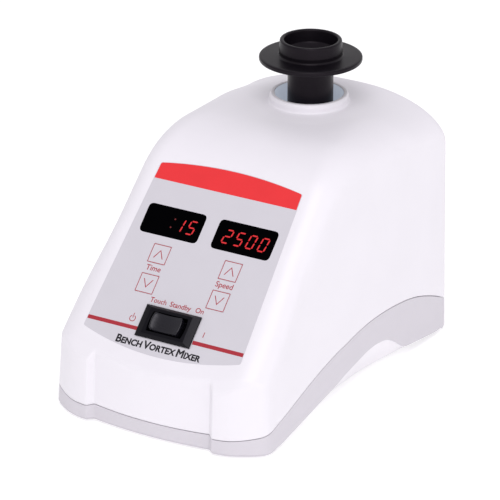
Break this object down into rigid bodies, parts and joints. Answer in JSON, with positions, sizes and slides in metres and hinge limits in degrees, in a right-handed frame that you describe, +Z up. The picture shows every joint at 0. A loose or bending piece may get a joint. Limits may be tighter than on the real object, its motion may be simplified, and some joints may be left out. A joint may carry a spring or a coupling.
{
  "type": "vortex mixer",
  "caption": "Bench vortex mixer: sloping control face with displays, touch keys and rocker switch, domed white housing on a gray base, orbiting black rubber cup head.",
  "frame": {"origin": "on the resting plane, under the middle of the body", "axes": "+Z up, front (control face) towards -Y, +X to the right seen from the front"},
  "size_m": [0.1278, 0.2116, 0.1679],
  "materials": {
    "housing_white": "fine moulded texture, satin",
    "base_gray": "fine moulded texture, satin",
    "overlay": "printed film, satin",
    "black_plastic": "moulded, satin",
    "black_rubber": "moulded rubber, matt",
    "window": "dark tinted, glossy",
    "steel": "plain",
    "aluminium": "machined",
    "brass": "machined",
    "copper_winding": "enamelled wire",
    "iron_core": "laminated",
    "board": "glass epoxy board"
  },
  "bodies": {
    "housing": {"upper_housing": "housing_white", "base_tray": "base_gray", "front_label": "overlay", "tact_switch_time_up": "black_plastic", "tact_switch_time_down": "black_plastic", "tact_switch_speed_up": "black_plastic", "tact_switch_speed_down": "black_plastic", "display_lens_time": "window", "led_module_time": "black_plastic", "display_lens_speed": "window", "led_module_speed": "black_plastic", "rubber_foot_1": "black_rubber", "housing_screw_1": "steel", "suspension_spring_1": "black_rubber", "rubber_foot_2": "black_rubber", "housing_screw_2": "steel", "suspension_spring_2": "black_rubber", "rubber_foot_3": "black_rubber", "housing_screw_3": "steel", "suspension_spring_3": "black_rubber", "rubber_foot_4": "black_rubber", "housing_screw_4": "steel", "suspension_spring_4": "black_rubber", "control_board": "board", "power_board": "board", "rocker_housing": "black_plastic", "inlet_housing": "black_plastic", "fuse_drawer": "black_plastic", "inlet_pin_earth": "brass", "inlet_pin_line": "brass", "inlet_pin_neutral": "brass", "ballast_plate": "steel", "transformer": "iron_core", "capacitor": "black_plastic", "support_frame": "steel", "touch_switch": "black_plastic"},
    "motor_carriage": {"motor_plate": "steel", "end_cap_lower": "aluminium", "end_cap_upper": "aluminium", "bearing_lower": "steel", "bearing_upper": "steel", "motor_can": "steel", "stator_core": "iron_core", "winding_lower": "copper_winding", "winding_upper": "copper_winding"},
    "rotor_shaft": {"motor_shaft": "steel", "rotor": "iron_core", "eccentric_hub": "aluminium", "counterweight": "brass", "hub_set_screw": "steel"},
    "orbit_head": {"orbit_bearing": "steel", "drive_post": "aluminium", "cup_head": "black_rubber"},
    "rocker": {"rocker_paddle": "black_plastic"},
    "time_up_key": {"key_time_up": "overlay"},
    "time_down_key": {"key_time_down": "overlay"},
    "speed_up_key": {"key_speed_up": "overlay"},
    "speed_down_key": {"key_speed_down": "overlay"}
  },
  "joints": [
    {"name": "touch_press", "type": "slide", "parent": "housing", "child": "motor_carriage", "axis": [0, 0, -1], "range_m": [0, 0.0015], "stiffness_N_per_m": 5000, "springref_m": -0.006, "deforming": ["suspension_spring_1", "suspension_spring_2", "suspension_spring_3", "suspension_spring_4"]},
    {"name": "shaft_spin", "type": "hinge", "parent": "motor_carriage", "child": "rotor_shaft", "pos_m": [0, 0.0541, 0.1], "axis": [0, 0, 1], "continuous": true},
    {"name": "orbit_spin", "type": "hinge", "parent": "rotor_shaft", "child": "orbit_head", "pos_m": [0.00177, 0.05233, 0.123], "axis": [0, 0, 1], "continuous": true},
    {"name": "rocker_tilt", "type": "hinge", "parent": "housing", "child": "rocker", "pos_m": [0, -0.08335, 0.05279], "axis": [0, 0.7115, 0.7026], "range_deg": [-12, 12]},
    {"name": "time_up_press", "type": "slide", "parent": "housing", "child": "time_up_key", "axis": [0, 0.7026, -0.7115], "range_m": [0, 0.0004], "stiffness_N_per_m": 800, "springref_m": -0.0006},
    {"name": "time_down_press", "type": "slide", "parent": "housing", "child": "time_down_key", "axis": [0, 0.7026, -0.7115], "range_m": [0, 0.0004], "stiffness_N_per_m": 800, "springref_m": -0.0006},
    {"name": "speed_up_press", "type": "slide", "parent": "housing", "child": "speed_up_key", "axis": [0, 0.7026, -0.7115], "range_m": [0, 0.0004], "stiffness_N_per_m": 800, "springref_m": -0.0006},
    {"name": "speed_down_press", "type": "slide", "parent": "housing", "child": "speed_down_key", "axis": [0, 0.7026, -0.7115], "range_m": [0, 0.0004], "stiffness_N_per_m": 800, "springref_m": -0.0006}
  ],
  "couplings": [
    {"joint": "orbit_spin", "follows": "shaft_spin", "ratio": -1}
  ]
}
